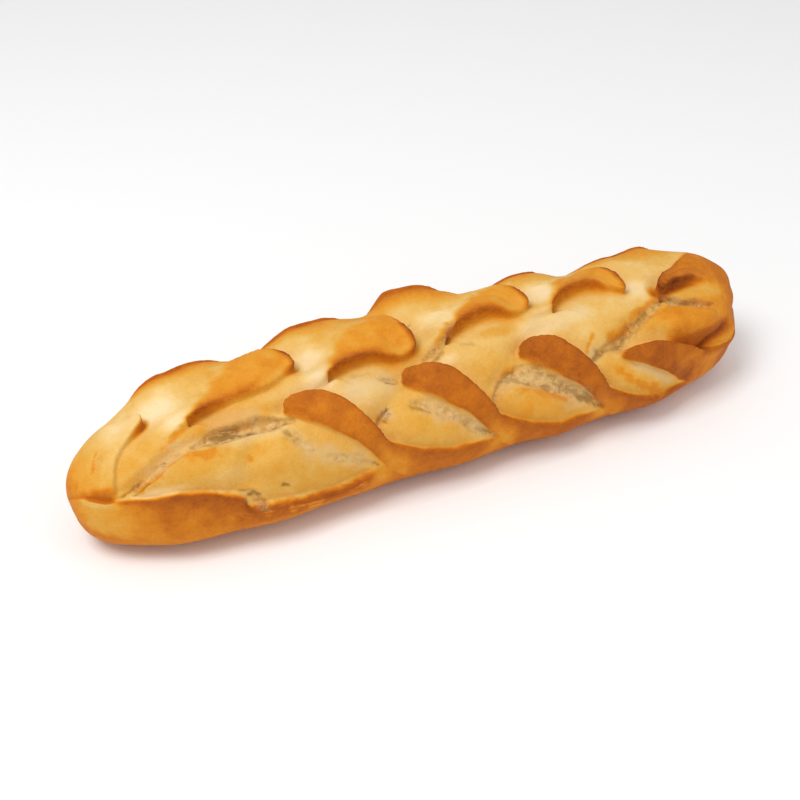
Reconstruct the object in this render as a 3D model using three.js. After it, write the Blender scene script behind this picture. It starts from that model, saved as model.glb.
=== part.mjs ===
// A long white bread loaf, baked with a lattice of slanting cuts in its crust.
// It is one solid: a plain rounded body whose skin is raised and lowered by the cuts.
// The skin is a map: x runs along the loaf, s runs round its girth from the middle of
// the top, plus toward the front and minus toward the back. All lengths are millimetres.
import * as THREE from 'three';

// Driving dimensions of the plain body
const LENGTH = 324;          // end to end
const HALF_WIDTH = 41;       // of the plan outline, before the relief
const HEIGHT = 58;           // crust line along the top, before the relief
const WIDEST_AT = 24;        // height of the widest line
const NEAR_LIFT = 2.5;       // how far the widest line climbs toward the near end
const FAR_LIFT = 5.0;        // and toward the far end
const NEAR_UNDERCUT = 7.0;   // how far the underside is drawn in under the near end
const FAR_UNDERCUT = 5.0;    // and under the far end
const SEAT = 1.0;            // the rounded underside is cut flat this far up
const NEAR_BLUNTNESS = 3.6;  // power of the plan outline toward the near end
const FAR_BLUNTNESS = 5.0;   // and toward the far end
const TOP_TAPER = 0.8;       // how fast the height falls toward the ends
const LOW_TAPER = 0.25;      // and how fast the underside rises
const SIDE_ROUNDNESS = 0.95;
const BASE_ROUNDNESS = 0.6;
const BOW_MIDDLE = 2.5;      // the loaf bows a little: sideways place of its middle line
const BOW_NEAR = 9.0;        // and how far each end swings off it
const BOW_FAR = 3.0;

// Fineness of the faceted skin
const COLUMNS = 116;         // along the loaf
const BACK_ROWS = 9;         // round the back, up to the back row's crests
const TOP_ROWS = 33;         // over the top and down the front, where the cuts are
const LOW_ROWS = 8;          // round the underside
const BACK_REACH = 80;       // girth that the back rows cover, from the top line
const CREST_REACH = 34;      // where the finer rows start
const FRONT_REACH = 72;      // and where they stop
const STEP_HALF = 3.4;       // half width of the step at a lip, as coarse as the facets
const RELIEF_FADES = [110, 96]; // girth at which the relief is gone, and is full
const REACH = 32;            // a lip is felt this far from it

// The top row's scales, whose tips point to the far end. Each lip runs from its corner along
// the scale's front to the tip, then back along the far side. Points are the share of the way
// from corner to tip, and the girth place. A steady lip doesn't sag at its middle.
const TOP_ROW = [
  {
    corner: -112, tip: -61, rise: 4.0, swell: 3.5, steady: 0.45,
    front: [[0, 17], [0.01, 12.5], [0.2, 10.5], [0.55, 10.5], [0.76, 9], [0.9, 5.5], [0.985, 3], [1, 0]],
    back: [[0.98, -4], [0.88, -8], [0.66, -12], [0.3, -16]],
  },
  {
    corner: -51, tip: -9, rise: 4.8, swell: 5.0, steady: 0.95,
    front: [[0, 17], [0.01, 13], [0.25, 11], [0.5, 11.5], [0.7, 14.5], [0.86, 15], [0.98, 13], [1, 9]],
    back: [[0.985, 2], [0.94, -4], [0.84, -9], [0.6, -14], [0.3, -17]],
  },
  {
    corner: 4, tip: 49, rise: 4.8, swell: 3.0, steady: 0.9,
    front: [[0, 16], [0.02, 11.5], [0.2, 7.5], [0.42, 5.5], [0.6, 6], [0.75, 9], [0.9, 9], [0.99, 6.5], [1, 2]],
    back: [[0.98, -3], [0.9, -8], [0.68, -13], [0.35, -16]],
  },
  {
    corner: 57, tip: 96, rise: 4.5, swell: 0.8, steady: 0.9,
    front: [[0, 14], [0.03, 9.5], [0.2, 5.5], [0.42, 3.5], [0.65, 4], [0.8, 8.5], [0.93, 11], [0.995, 11], [1, 7]],
    back: [[0.98, 0], [0.96, -5], [0.85, -10], [0.6, -14], [0.35, -16]],
  },
];
const TOP_SWELL = [[0.1, 3], [0.4, -3], [0.7, -3], [0.95, 2]];   // the scale's own hump
const TOP_HOLLOW = [[9, 16], [5, 3], [0, -10], [-12, -24]];      // the dip just past its tip
const TOP_TROUGH = -3.0;     // depth of the opened dough below a scale

// The front row's strips, each from its tip down to the side crust. 'lip' and 'lens' scale the
// run and the drop of its upper edge and of the lens below that, and the edge dies away over
// its last 'fade'.
const FRONT_ROW = [
  { tip: -74, top: 21.0, rise: 4.5, lip: [1, 1], lens: [1, 1], fade: 0.15 },
  { tip: -22, top: 24.0, rise: 4.5, lip: [1, 1], lens: [1, 1], fade: 0.15 },
  { tip: 33, top: 26.5, rise: 4.5, lip: [0.98, 1], lens: [0.98, 1], fade: 0.15 },
  { tip: 80, top: 41.0, rise: 3.4, lip: [1.2, 0.5], lens: [0.85, 0.6], fade: 0.6 },
];
const FRONT_LIP = [
  [0, 4], [2, -0.5], [7, -2], [14, -1], [21, 4], [28, 12], [34, 21], [40, 29], [54, 36], [69, 40], [86, 41],
];
const FRONT_CREST = [[6, 4], [14, 8], [23, 14], [32, 24], [40, 33]];
const FRONT_LENS_EDGE = [[-1, 2], [5, 8], [14.5, 15], [25, 23.5], [32, 32], [37, 40]];
const FRONT_DOUGH = [[40, 20], [52, 28], [66, 34], [78, 37]];
const FRONT_TROUGH = -3.5;   // depth of the opened dough above a strip

// The back row's lobes: where each starts and stops, where it is highest, and by how much
const BACK_ROW = [
  { start: -132, stop: -73, peak: 0.42, rise: 10.5 },
  { start: -76, stop: -13, peak: 0.5, rise: 10.0 },
  { start: -20, stop: 36, peak: 0.38, rise: 13.5 },
  { start: 34, stop: 80, peak: 0.62, rise: 7.0 },
  { start: 82, stop: 142, peak: 0.5, rise: 6.5 },
];
const BACK_CREST = [
  [0, -36], [0.1, -31], [0.28, -27], [0.5, -26], [0.75, -28], [1, -36], [1.2, -46], [1.5, -56], [1.85, -61],
];
const BACK_TROUGH = [[-128, -32], [-60, -32], [0, -32], [60, -32], [128, -32]];

// Single cuts: the long rim low on the front, the bands that slant up to the scales, the ends
const NEAR_RIM = [
  [-149, 44], [-140, 45], [-132, 46], [-124, 45.5], [-112, 49], [-99, 55], [-97, 60.5], [-82, 62], [-59, 65],
  [-40, 60],
];
const NEAR_DOUGH = [[-140, 40], [-120, 37], [-100, 38], [-80, 41], [-58, 51]];
const NEAR_TEAR = [[-147, 43], [-132, 31.5], [-122, 26], [-111, 23.5], [-100, 24.5], [-86, 25], [-73, 27]];
const SLANTING_BANDS = [
  [[-98, 57], [-95, 42], [-84, 30], [-74, 24], [-62, 19], [-51, 17]],
  [[-43, 43], [-34, 38], [-22, 29], [-10, 21], [4, 16]],
  [[13, 43], [22, 37], [33, 30], [45, 21], [57, 16]],
  [[66, 42], [80, 37], [95, 28], [107, 22]],
];
const NEAR_CAP = [
  [-132, -12], [-129, -6], [-127, -1], [-128, 3], [-132, 6], [-138, 12], [-142.5, 20], [-145, 31], [-147, 43],
];
const NEAR_HEM = [[-146, 44], [-150, 45], [-154, 43], [-158, 38]];
const NEAR_SLIT = [[-152, 20], [-148, 12], [-146, 7]];
const FAR_CAP = [
  [141, -13], [134, -5], [124, 3], [116, 9.5], [112, 13.5], [112.5, 17], [117, 14.5], [126, 13], [133, 13],
  [139, 15], [143, 20],
];
const FAR_TEAR = [[112, 20.5], [118, 23.5], [124, 26.5], [130, 29], [136, 32]];
const FAR_SEAM = [[120, 53], [127, 54], [132, 50.5], [139, 48.5], [147, 46]];
const FAR_BULGE = [[102, 33], [114, 35], [128, 39], [141, 38]];

// Lumps and dents: places along and round, half sizes along and round, rise
const ROUND_BUMPS = [
  [-147, -6, 13, 22, 1.0], [146, -10, 14, 18, 4.5], [38, -19, 9, 9, -1.8], [79, -18, 9, 9, -2.5],
  [157, 56, 8, 15, -3.5], [158, -2, 5, 16, 1.5],
];
const SIDE_BULGES = [-122, -84, 2, 48, 94];   // places along the loaf
const SIDE_BULGE = { at: 68, long: 16, wide: 13, rise: 2.0 };

// ---- small helpers ----

// Eases from 0 at one value to 1 at the other, which may be the smaller
function smooth(from, to, value) {
  const t = Math.min(Math.max((value - from) / (to - from), 0), 1);
  return t * t * (3 - 2 * t);
}

const mix = (a, b, share) => a + (b - a) * share;

const hump = (middle, half, value) => Math.exp(-(((value - middle) / half) ** 2));

// Rises from nothing over the first part of a curve and dies away over the last
const ends = (start, end) => (t) => smooth(0, start, t) * smooth(0, end, 1 - t);

// ---- the plain body ----

// Half width of the plan outline, as a share of its full half width
function planOutline(u) {
  const bluntness = u < 0 ? NEAR_BLUNTNESS : FAR_BLUNTNESS;
  return Math.sqrt(Math.max(1 - Math.abs(u) ** bluntness, 0));
}

// Point on the plain body: turn is the angle round the girth from the top, plus to the front
function bodyPoint(x, turn) {
  const u = x / (LENGTH / 2);
  const outline = planOutline(u);
  const taper = outline ** TOP_TAPER;
  const across = Math.sin(turn);
  const up = Math.cos(turn);
  const bow = BOW_MIDDLE - (u < 0 ? BOW_NEAR : BOW_FAR) * u ** 2;
  const y = bow - HALF_WIDTH * outline * Math.sign(across) * Math.abs(across) ** SIDE_ROUNDNESS;
  const widest = WIDEST_AT + (u < 0 ? NEAR_LIFT : FAR_LIFT) * u ** 6;
  if (up > 0) return new THREE.Vector3(x, y, widest + (HEIGHT - widest) * taper * up);
  const sunk = taper ** LOW_TAPER * Math.abs(up) ** BASE_ROUNDNESS;
  const drawnIn = (u < 0 ? NEAR_UNDERCUT : -FAR_UNDERCUT) * sunk ** 1.5 * u ** 8;
  return new THREE.Vector3(x + drawnIn, y, widest * (1 - sunk));
}

// Running length of a row of points
function runningLength(points) {
  const length = [0];
  for (let i = 1; i < points.length; i += 1) length.push(length[i - 1] + points[i].distanceTo(points[i - 1]));
  return length;
}

// Value of a rising table at a place
function lookUp(places, values, at) {
  let i = 1;
  while (i < places.length - 1 && places[i] < at) i += 1;
  const share = (at - places[i - 1]) / (places[i] - places[i - 1]);
  return mix(values[i - 1], values[i], share);
}

// Girth of the middle section, measured from the top, against the angle round it
function measureGirth(steps = 1000) {
  const turns = Array.from({ length: steps + 1 }, (_, i) => -Math.PI + (2 * Math.PI * i) / steps);
  const length = runningLength(turns.map((turn) => bodyPoint(0, turn)));
  const top = lookUp(turns, length, 0);
  return { turns, girth: length.map((value) => value - top) };
}

// ---- the relief: a list of features, each a height at a place (x, s) of the skin ----

const relief = [];

// A smooth curve on the skin, cut into short straight runs
function skinCurve(points) {
  const spline = new THREE.CatmullRomCurve3(
    points.map(([x, s]) => new THREE.Vector3(x, s, 0)), false, 'catmullrom', 0.5);
  const line = spline.getPoints(8 * (points.length - 1));
  return { line, length: runningLength(line) };
}

// Nearest place on a curve: share of its length, and distance, plus to the side that s grows
// toward as the curve runs to the far end
function nearest(curve, x, s, reach) {
  const { line, length } = curve;
  let best = { along: 0, distance: Infinity, side: 1 };
  for (let i = 1; i < line.length; i += 1) {
    const from = line[i - 1];
    const run = length[i] - length[i - 1];
    if (Math.abs(x - from.x) > reach + run || Math.abs(s - from.y) > reach + run) continue;
    const ux = (line[i].x - from.x) / run;
    const us = (line[i].y - from.y) / run;
    const walked = Math.min(Math.max((x - from.x) * ux + (s - from.y) * us, 0), run);
    const dx = x - from.x - walked * ux;
    const ds = s - from.y - walked * us;
    const distance = Math.hypot(dx, ds);
    if (distance < best.distance) {
      const side = ux * (s - from.y) - us * (x - from.x) >= 0 ? 1 : -1;
      best = { along: (length[i - 1] + walked) / length.at(-1), distance, side };
    }
  }
  return best;
}

// The edge of a cut: crust rises toward it over 'back' on one side, and the opened dough
// beside it starts at height 'foot' and evens out over 'front'
function addLip({ points, crustSide, rise, foot, back, front, power = 1.5, strength }) {
  const curve = skinCurve(points);
  relief.push((x, s) => {
    const near = nearest(curve, x, s, REACH);
    if (near.distance > REACH) return 0;
    const inward = near.distance * near.side * crustSide;
    const crust = rise * Math.exp(-((Math.max(inward, 0) / back) ** power));
    const dough = foot * Math.exp(-((Math.max(-inward, 0) / front) ** power));
    return strength(near.along) * mix(dough, crust, smooth(-STEP_HALF, STEP_HALF, inward));
  });
}

// A rounded ridge, or a valley where the rise is negative
function addRidge({ points, rise, width, strength = ends(0.3, 0.3) }) {
  const curve = skinCurve(points);
  const reach = 2.6 * width;
  relief.push((x, s) => {
    const near = nearest(curve, x, s, reach);
    if (near.distance > reach) return 0;
    return rise * strength(near.along) * hump(0, width, near.distance);
  });
}

function addBulge([atX, atS, long, wide, rise]) {
  relief.push((x, s) => rise * hump(atX, long, x) * hump(atS, wide, s));
}

function addTopScale({ corner, tip, rise, swell, steady, front, back }) {
  const place = (points) => points.map(([share, s]) => [mix(corner, tip, share), s]);
  const outline = place([...front, ...back]);
  const tipShare = skinCurve(place(front)).length.at(-1) / skinCurve(outline).length.at(-1);
  const strength = (t) => {
    const f = t / tipShare;
    const sag = (1 - steady) * smooth(0.2, 0.45, f) * smooth(0.95, 0.7, f);
    return smooth(0, 0.06, f) * (1 - sag) * (1 - 0.4 * hump(0.85, 0.13, f)) * smooth(1.7, 1.1, f);
  };
  addLip({ points: outline, crustSide: -1, rise, foot: TOP_TROUGH, back: 8, front: 8, strength });
  addRidge({ points: place(TOP_SWELL), rise: swell, width: 10, strength: ends(0.5, 0.3) });
  addRidge({ points: TOP_HOLLOW.map(([x, s]) => [tip + x, s]), rise: -2.5, width: 5.5 });
}

function addFrontStrip({ tip, top, rise, lip, lens, fade }) {
  const place = (points, [run, drop]) => points.map(([x, s]) => [tip + x * run, top + s * drop]);
  const edge = (t) => ends(0.04, fade)(t) * (1 - 0.62 * smooth(0.45, 0.6, t));
  addLip({
    points: place(FRONT_LIP, lip), crustSide: 1, rise, foot: FRONT_TROUGH, back: 8, front: 9, strength: edge,
  });
  addLip({
    points: place(FRONT_LENS_EDGE, lens), crustSide: -1, rise: 1.2, foot: -1.6, back: 4, front: 4,
    strength: ends(0.1, 0.35),
  });
  addRidge({ points: place(FRONT_CREST, lens), rise: 2.0, width: 6, strength: ends(0.3, 0.4) });
  addRidge({ points: place(FRONT_DOUGH, lip), rise: 2.8, width: 7, strength: ends(0.4, 0.4) });
}

// A lobe stands highest at its crest and runs on down the back as a low edge
function addBackLobe({ start, stop, peak, rise }) {
  const points = BACK_CREST.map(([share, s]) => [mix(start, stop, share), s]);
  const tail = BACK_CREST.at(-1)[0];
  const strength = (t) => {
    const share = t * tail;
    const lobe = smooth(0, 0.85 * peak, share) * smooth(1.08, peak + 0.1, share);
    return mix(lobe, 0.35 * smooth(1, 0.6, t), smooth(0.8, 1.2, share));
  };
  addLip({ points, crustSide: -1, rise, foot: 0.8 * rise, back: 15, front: 12, power: 2, strength });
}

function addSides() {
  addLip({
    points: NEAR_RIM, crustSide: 1, rise: 1.8, foot: -1.8, back: 9, front: 8, strength: ends(0.06, 0.06),
  });
  addRidge({ points: NEAR_DOUGH, rise: 3, width: 10, strength: ends(0.2, 0.3) });
  addRidge({ points: NEAR_TEAR, rise: -3.2, width: 3.5, strength: ends(0.2, 0.15) });
  for (const points of SLANTING_BANDS) addRidge({ points, rise: -2.5, width: 5, strength: ends(0.15, 0.15) });
  addRidge({ points: BACK_TROUGH, rise: -5, width: 14, strength: ends(0.08, 0.08) });
  for (const x of SIDE_BULGES) {
    for (const side of [1, -1]) {
      addBulge([x, side * SIDE_BULGE.at, SIDE_BULGE.long, SIDE_BULGE.wide, SIDE_BULGE.rise]);
    }
  }
}

function addEnds() {
  const nearStrength = (t) => ends(0.15, 0.1)(t) * (0.4 + 0.6 * hump(0.22, 0.14, t));
  const farStrength = (t) => ends(0.2, 0.3)(t) * (0.25 + 0.75 * smooth(0.25, 0.48, t));
  addLip({ points: NEAR_CAP, crustSide: 1, rise: 3.6, foot: -2.4, back: 8, front: 6, strength: nearStrength });
  addLip({ points: NEAR_HEM, crustSide: -1, rise: 1.6, foot: -0.6, back: 4, front: 5, strength: ends(0.2, 0.3) });
  addRidge({ points: NEAR_SLIT, rise: -1.6, width: 1.6 });
  addLip({ points: FAR_CAP, crustSide: -1, rise: 4.5, foot: -2.5, back: 14, front: 8, strength: farStrength });
  addRidge({ points: FAR_TEAR, rise: -2.5, width: 3.5 });
  addRidge({ points: FAR_SEAM, rise: -2.2, width: 3 });
  addRidge({ points: FAR_BULGE, rise: 3, width: 7 });
  ROUND_BUMPS.forEach(addBulge);
}

TOP_ROW.forEach(addTopScale);
FRONT_ROW.forEach(addFrontStrip);
BACK_ROW.forEach(addBackLobe);
addSides();
addEnds();

const reliefAt = (x, s) => relief.reduce((sum, feature) => sum + feature(x, s), 0)
  * smooth(RELIEF_FADES[0], RELIEF_FADES[1], Math.abs(s));

// ---- the skin ----

// Places along the loaf, evenly spaced along the plan outline so that the ends stay round
function columnPlaces(steps = 4000) {
  const plan = Array.from({ length: steps + 1 }, (_, i) => {
    const u = -Math.cos((Math.PI * i) / steps);
    return new THREE.Vector2((u * LENGTH) / 2, HALF_WIDTH * planOutline(u));
  });
  const length = runningLength(plan);
  const places = plan.map((point) => point.x);
  return Array.from({ length: COLUMNS }, (_, i) => lookUp(length, places, (length.at(-1) * (i + 1)) / (COLUMNS + 1)));
}

// Places round the girth: the back, the top and front, then the underside back to the start
function rowPlaces({ girth }) {
  const whole = girth.at(-1) - girth[0];
  const evenly = (from, to, count) => Array.from({ length: count }, (_, i) => mix(from, to, i / count));
  return [
    ...evenly(-BACK_REACH, -CREST_REACH, BACK_ROWS),
    ...evenly(-CREST_REACH, FRONT_REACH, TOP_ROWS),
    ...evenly(FRONT_REACH, whole - BACK_REACH, LOW_ROWS).map((s) => (s > girth.at(-1) ? s - whole : s)),
  ];
}

// Outward direction of the plain body
function bodyNormal(x, turn) {
  const [halfRun, halfTurn, clear] = [0.1, 0.002, 0.2];
  const along = Math.min(Math.max(x, -LENGTH / 2 + clear), LENGTH / 2 - clear);
  const lengthwise = bodyPoint(along + halfRun, turn).sub(bodyPoint(along - halfRun, turn));
  const round = bodyPoint(along, turn + halfTurn).sub(bodyPoint(along, turn - halfTurn));
  return round.cross(lengthwise).normalize();
}

function makeLoafGeometry() {
  const girth = measureGirth();
  const columns = columnPlaces();
  const rows = rowPlaces(girth);
  const points = [];
  for (const x of columns) {
    for (const s of rows) {
      const turn = lookUp(girth.girth, girth.turns, s);
      points.push(bodyPoint(x, turn).addScaledVector(bodyNormal(x, turn), reliefAt(x, s)));
    }
  }
  const nearPole = points.push(bodyPoint(-LENGTH / 2, 0)) - 1;
  const farPole = points.push(bodyPoint(LENGTH / 2, 0)) - 1;
  for (const point of points) point.z = Math.max(point.z, SEAT) - SEAT;

  const faces = [];
  const at = (column, row) => column * rows.length + (row % rows.length);
  for (let i = 0; i < columns.length - 1; i += 1) {
    for (let j = 0; j < rows.length; j += 1) {
      const [a, b, c, d] = [at(i, j), at(i, j + 1), at(i + 1, j + 1), at(i + 1, j)];
      // each four-sided facet is split along its shorter diagonal
      if (points[a].distanceTo(points[c]) < points[b].distanceTo(points[d])) faces.push(a, b, c, a, c, d);
      else faces.push(a, b, d, b, c, d);
    }
  }
  for (let j = 0; j < rows.length; j += 1) {
    faces.push(nearPole, at(0, j + 1), at(0, j));
    faces.push(farPole, at(columns.length - 1, j), at(columns.length - 1, j + 1));
  }
  const geometry = new THREE.BufferGeometry().setFromPoints(points);
  geometry.setIndex(faces);
  geometry.computeBoundingBox();
  const middle = geometry.boundingBox.getCenter(new THREE.Vector3());
  geometry.translate(-middle.x, -middle.y, 0);   // origin under the middle of the loaf
  geometry.computeVertexNormals();
  return geometry;
}

const crust = new THREE.MeshStandardMaterial({ color: 0xdba45a, roughness: 0.75, metalness: 0 });
const loaf = new THREE.Mesh(makeLoafGeometry(), crust);
loaf.name = 'loaf';

const bread = new THREE.Group();
bread.add(loaf);

export default bread;
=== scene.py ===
import math

import bpy
import numpy as np
from mathutils import Matrix, Vector


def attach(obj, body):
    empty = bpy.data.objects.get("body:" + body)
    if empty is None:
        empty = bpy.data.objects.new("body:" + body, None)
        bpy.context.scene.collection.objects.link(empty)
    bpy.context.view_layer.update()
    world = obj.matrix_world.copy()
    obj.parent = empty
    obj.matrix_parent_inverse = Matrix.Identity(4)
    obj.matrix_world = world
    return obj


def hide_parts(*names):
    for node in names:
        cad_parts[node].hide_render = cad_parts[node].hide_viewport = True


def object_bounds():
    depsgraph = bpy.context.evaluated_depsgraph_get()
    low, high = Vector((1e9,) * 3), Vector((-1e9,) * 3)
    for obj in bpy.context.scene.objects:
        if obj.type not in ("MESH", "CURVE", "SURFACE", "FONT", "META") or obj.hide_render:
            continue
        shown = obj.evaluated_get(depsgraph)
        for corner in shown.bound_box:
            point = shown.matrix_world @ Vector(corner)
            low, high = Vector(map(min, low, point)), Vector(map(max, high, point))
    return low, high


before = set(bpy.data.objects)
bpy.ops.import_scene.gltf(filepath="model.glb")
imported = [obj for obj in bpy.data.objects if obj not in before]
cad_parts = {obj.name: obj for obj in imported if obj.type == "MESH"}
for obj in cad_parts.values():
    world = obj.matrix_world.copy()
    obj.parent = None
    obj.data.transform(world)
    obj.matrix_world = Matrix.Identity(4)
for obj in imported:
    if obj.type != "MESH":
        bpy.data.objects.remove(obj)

CAD_BOX = [list(corner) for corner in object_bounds()]

# A long white bread loaf with a lattice of slanting cuts. The skin is a map: x runs along
# the loaf, s runs round its girth from the middle of the top, plus toward the front and
# minus toward the back. Lengths are millimetres up to the mesh, which is in metres.
MM = 1000.0                  # millimetres in a metre

# ---- driving dimensions, the same values as the part's source ----
LENGTH = 324.0               # end to end
HALF_WIDTH = 41.0            # of the plan outline, before the relief
HEIGHT = 58.0                # crust line along the top, before the relief
WIDEST_AT = 24.0             # height of the widest line
NEAR_LIFT, FAR_LIFT = 2.5, 5.0              # how far that line climbs toward each end
NEAR_UNDERCUT, FAR_UNDERCUT = 7.0, 5.0      # how far the underside is drawn in under each end
SEAT = 1.0                   # the rounded underside is cut flat this far up
NEAR_BLUNTNESS, FAR_BLUNTNESS = 3.6, 5.0    # powers of the plan outline toward each end
TOP_TAPER = 0.8              # how fast the height falls toward the ends
LOW_TAPER = 0.25             # and how fast the underside rises
SIDE_ROUNDNESS, BASE_ROUNDNESS = 0.95, 0.6
BOW_MIDDLE = 2.5             # the loaf bows a little: sideways place of its middle line
BOW_NEAR, BOW_FAR = 9.0, 3.0                # and how far each end swings off it
CLEARANCE = 0.02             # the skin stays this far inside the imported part's box

# ---- fineness of the modelled skin ----
COLUMNS = 430                # along the loaf
TOP_ROWS, LOW_ROWS = 196, 28  # over the top and sides, and round the underside
TOP_REACH = 82.0             # girth that the finer rows cover, each way from the top
RELIEF_FADES = (110.0, 96.0)  # girth at which the relief is gone, and is full
STEP_HALF = 1.1              # half width of the step at a lip
REACH = 32.0                 # a lip is felt this far from it
RIDGE_REACH = 2.6            # a ridge is felt over this many of its widths
TEAR_REACH = 2.5             # and a tear, a vein or a row of holes over this many half widths
CURL_REACH = 4.0             # how far into the crust a lip pulls the skin over
TUCK, TUCK_REACH = 0.8, 3.0  # how much, and how far out, it draws in the dough below it

# ---- unevenness: size of the lumps, seed, and layers where there aren't 3 ----
WANDER = 0.55                # how far the cuts run off their lines
WANDER_ALONG, WANDER_ROUND = (5.0, 21), (5.0, 31)
UNEVEN = 0.5                 # how high the lumps of the whole skin are
LUMPS = (16.0, 3)
TORN_EDGE, TORN_FACE = (3.5, 41), (2.6, 43, 2)
BROAD, FINE, PATCHY, GRIT = (26.0, 51), (5.0, 61), (11.0, 71), (2.4, 81, 2)     # of the baking
FLOUR = (6.0, 91)
HOLES_COARSE, HOLES_FINE = (3.6, 101, 2), (1.9, 111, 2)
HASH_X, HASH_Y, HASH_Z, HASH_SEED, HASH_MIX = 73856093, 19349663, 83492791, 2654435761, 1274126177

# ---- the cuts ----
# The top row's scales. Each lip runs from its corner along the scale's front to the tip, then
# back along the far side. Points are (share of the way from corner to tip, girth place).
# A steady lip doesn't sag at its middle. The more 'faded', the later the brown starts at the
# back of the scale. The tip is painted darkest between the two girth places of 'notch', as shade
# under its overhanging crust.
TOP_ROW = [
    dict(corner=-112, tip=-61, rise=4.0, swell=3.5, steady=0.45, faded=0.42, notch=(-5, 6),
         front=[(0, 17), (0.01, 12.5), (0.2, 10.5), (0.55, 10.5), (0.76, 9), (0.9, 5.5), (0.985, 3),
                (1, 0)],
         back=[(0.98, -4), (0.88, -8), (0.66, -12), (0.3, -16)]),
    dict(corner=-51, tip=-9, rise=4.8, swell=5.0, steady=0.95, faded=0.46, notch=(1, 14),
         front=[(0, 17), (0.01, 13), (0.25, 11), (0.5, 11.5), (0.7, 14.5), (0.86, 15), (0.98, 13), (1, 9)],
         back=[(0.985, 2), (0.94, -4), (0.84, -9), (0.6, -14), (0.3, -17)]),
    dict(corner=4, tip=49, rise=4.8, swell=3.0, steady=0.9, faded=0.8, notch=(-3, 6),
         front=[(0, 16), (0.02, 11.5), (0.2, 7.5), (0.42, 5.5), (0.6, 6), (0.75, 9), (0.9, 9), (0.99, 6.5),
                (1, 2)],
         back=[(0.98, -3), (0.9, -8), (0.68, -13), (0.35, -16)]),
    dict(corner=57, tip=96, rise=4.5, swell=0.8, steady=0.9, faded=0.7, notch=(-5, 13),
         front=[(0, 14), (0.03, 9.5), (0.2, 5.5), (0.42, 3.5), (0.65, 4), (0.8, 8.5), (0.93, 11),
                (0.995, 11), (1, 7)],
         back=[(0.98, 0), (0.96, -5), (0.85, -10), (0.6, -14), (0.35, -16)]),
]
TOP_TROUGH = -3.0            # height of the dough at the foot of a scale's lip
TOP_SWELL = [(0.1, 3), (0.4, -3), (0.7, -3), (0.95, 2)]    # crest of a scale, as shares and girth
TOP_HOLLOW = [(9, 16), (5, 3), (0, -10), (-12, -24)]       # valley before its tip, from the tip

# The front row's strips, each from its tip down to the side crust. 'lip' and 'lens' scale the
# run and the drop of its upper edge and of the brown lens below that, and the edge dies away
# over its last 'fade'.
FRONT_ROW = [
    dict(tip=-74, top=21.0, rise=4.5, lip=(1, 1), lens=(1, 1), fade=0.15),
    dict(tip=-22, top=24.0, rise=4.5, lip=(1, 1), lens=(1, 1), fade=0.15),
    dict(tip=33, top=26.5, rise=4.5, lip=(0.98, 1), lens=(0.98, 1), fade=0.15),
    dict(tip=80, top=41.0, rise=3.4, lip=(1.2, 0.5), lens=(0.85, 0.6), fade=0.6),
]
FRONT_TROUGH = -3.5
FRONT_LIP = [(0, 4), (2, -0.5), (7, -2), (14, -1), (21, 4), (28, 12), (34, 21), (40, 29), (54, 36),
             (69, 40), (86, 41)]
FRONT_CREST = [(6, 4), (14, 8), (23, 14), (32, 24), (40, 33)]
FRONT_LENS_EDGE = [(-1, 2), (5, 8), (14.5, 15), (25, 23.5), (32, 32), (37, 40)]
FRONT_LENS_FOOT = (60, 62)   # where the colour of the lens's edge runs on to
FRONT_DOUGH = [(40, 20), (52, 28), (66, 34), (78, 37)]

# The back row's lobes: where each starts and stops, where it is highest, and by how much.
BACK_ROW = [
    dict(start=-132, stop=-73, peak=0.42, rise=10.5),
    dict(start=-76, stop=-13, peak=0.5, rise=10.0),
    dict(start=-20, stop=36, peak=0.38, rise=13.5),
    dict(start=34, stop=80, peak=0.62, rise=7.0),
    dict(start=82, stop=142, peak=0.5, rise=6.5),
]
BACK_TAIL = 1.85             # share of the way from start to stop at which a lobe's edge ends
BACK_CREST = [(0, -36), (0.1, -31), (0.28, -27), (0.5, -26), (0.75, -28), (1, -36), (1.2, -46),
              (1.5, -56), (BACK_TAIL, -61)]
BACK_TROUGH = [(-128, -32), (-60, -32), (0, -32), (60, -32), (128, -32)]
BACK_TROUGH_DEPTH, BACK_TROUGH_WIDTH = 5.0, 14.0

# The near side: the edge of its crust, the dough above it, the tear behind that, and the
# valleys that slant down between the strips.
NEAR_RIM = [(-149, 44), (-140, 45), (-132, 46), (-124, 45.5), (-112, 49), (-99, 55), (-97, 60.5),
            (-82, 62), (-59, 65), (-40, 60)]
NEAR_DOUGH = [(-140, 40), (-120, 37), (-100, 38), (-80, 41), (-58, 51)]
NEAR_TEAR = [(-147, 43), (-132, 31.5), (-122, 26), (-111, 23.5), (-100, 24.5), (-86, 25), (-73, 27)]
SLANTING_BANDS = [
    [(-98, 57), (-95, 42), (-84, 30), (-74, 24), (-62, 19), (-51, 17)],
    [(-43, 43), (-34, 38), (-22, 29), (-10, 21), (4, 16)],
    [(13, 43), (22, 37), (33, 30), (45, 21), (57, 16)],
    [(66, 42), (80, 37), (95, 28), (107, 22)],
]

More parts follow.
